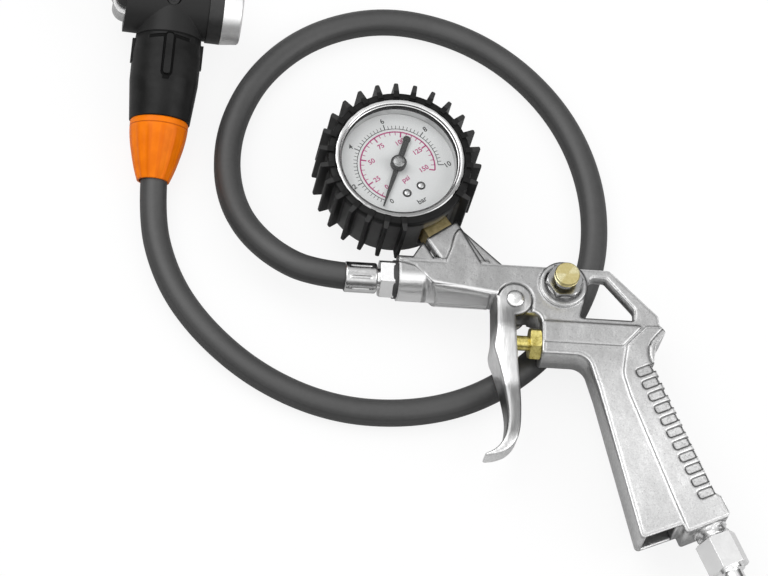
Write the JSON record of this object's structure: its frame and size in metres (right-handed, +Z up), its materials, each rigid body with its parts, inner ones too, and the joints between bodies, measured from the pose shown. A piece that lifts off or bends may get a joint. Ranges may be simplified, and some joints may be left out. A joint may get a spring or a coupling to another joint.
{
  "type": "tire inflator",
  "caption": "Pistol-grip tyre inflator gun with a rubber-booted dial gauge, squeeze trigger, bleed button, hose and clip-on lever chuck.",
  "frame": {"origin": "middle of the bottom of the gun and chuck together, on the surface that they lie on", "axes": "+Z up out of the gauge's face; +X back along the gun's barrel, from the hose to the grip; +Y from the grip towards the gauge"},
  "size_m": [0.3316, 0.3472, 0.0492],
  "materials": {
    "cast_aluminium": "satin cast",
    "trigger_aluminium": "smooth satin",
    "rivet_steel": "polished",
    "bright_brass": "polished",
    "dull_brass": "dull",
    "button_brass": "turned",
    "black_rubber": "matte",
    "boot_rubber": "satin",
    "hose_rubber": "matte",
    "spring_steel": "bright",
    "dark_chrome": "polished",
    "plated_steel": "bright plating",
    "ferrule_steel": "bright plating",
    "dark_washer": "matte",
    "gauge_steel": "satin",
    "bezel_chrome": "polished",
    "lens_glass": "clear",
    "dial_white": "matte white",
    "screw_steel": "bright",
    "pointer_black": "satin black",
    "chuck_plastic": "satin",
    "sleeve_plastic": "satin",
    "nozzle_metal": "satin",
    "white_plastic": "satin",
    "lever_metal": "satin",
    "orange_plastic": "satin"
  },
  "bodies": {
    "gun": {"gun_body": "cast_aluminium", "trigger_rivet": "rivet_steel", "valve_gland": "bright_brass", "stem_packing": "black_rubber", "valve_seat": "dull_brass", "valve_spring": "spring_steel", "bleed_nut": "dark_chrome", "bleed_spring": "spring_steel", "inlet_adapter": "plated_steel", "inlet_plug": "plated_steel", "outlet_nipple": "plated_steel", "outlet_washer": "dark_washer", "hose_ferrule": "ferrule_steel", "gauge_boot": "boot_rubber", "gauge_case": "gauge_steel", "gauge_bezel": "bezel_chrome", "gauge_lens": "lens_glass", "lens_gasket": "black_rubber", "gauge_dial": "dial_white", "dial_screws": "screw_steel", "movement_frame": "dull_brass", "gauge_socket": "dull_brass", "bourdon_tube": "dull_brass", "sector_link": "dull_brass", "chuck_body": "chuck_plastic", "head_screw": "screw_steel", "nozzle_sleeve": "sleeve_plastic", "nozzle_ring": "nozzle_metal", "nozzle_seal": "black_rubber", "lever_pin": "rivet_steel", "chuck_collar": "orange_plastic", "chuck_barb": "dull_brass", "hose": "hose_rubber"},
    "trigger": {"trigger": "trigger_aluminium"},
    "valve": {"valve_stem": "bright_brass", "poppet_washer": "black_rubber"},
    "bleed": {"bleed_button": "button_brass", "bleed_washer": "black_rubber"},
    "pointer": {"gauge_pointer": "pointer_black", "pinion_shaft": "rivet_steel"},
    "sector": {"sector_gear": "dull_brass"},
    "lever": {"chuck_lever": "lever_metal"},
    "plunger": {"chuck_plunger": "white_plastic", "valve_depressor": "rivet_steel"}
  },
  "joints": [
    {"name": "trigger_pull", "type": "hinge", "parent": "gun", "child": "trigger", "pos_m": [0.048, -0.01948, 0.025], "axis": [0, 0, 1], "range_deg": [0, 8], "stiffness_Nm_per_rad": 1.8, "springref_deg": -20.05},
    {"name": "valve_push", "type": "slide", "parent": "gun", "child": "valve", "axis": [1, 0, 0], "range_m": [0, 0.0026], "deforming": ["valve_spring"]},
    {"name": "bleed_press", "type": "slide", "parent": "gun", "child": "bleed", "axis": [0, 0, -1], "range_m": [0, 0.0025], "stiffness_N_per_m": 1600, "springref_m": -0.0025, "deforming": ["bleed_spring"]},
    {"name": "pointer_turn", "type": "hinge", "parent": "gun", "child": "pointer", "pos_m": [-0.0098, 0.04742, 0.037], "axis": [0, 0, -1], "range_deg": [0, 257], "stiffness_Nm_per_rad": 0.0005, "springref_deg": -17.19},
    {"name": "sector_turn", "type": "hinge", "parent": "gun", "child": "sector", "pos_m": [-0.01738, 0.06054, 0.0299], "axis": [0, 0, 1], "range_deg": [0, 38]},
    {"name": "lever_swing", "type": "hinge", "parent": "gun", "child": "lever", "pos_m": [-0.14355, 0.13381, 0.02676], "axis": [-0.0126, -0.1904, 0.9816], "range_deg": [0, 60]},
    {"name": "plunger_push", "type": "slide", "parent": "gun", "child": "plunger", "axis": [0.9978, -0.0663, 0], "range_m": [0, 0.0021]}
  ],
  "couplings": [
    {"joint": "valve_push", "follows": "trigger_pull", "m_per_rad": 0.0185},
    {"joint": "sector_turn", "follows": "pointer_turn", "ratio": 0.14615},
    {"joint": "plunger_push", "follows": "lever_swing", "m_per_rad": 0.00191}
  ]
}
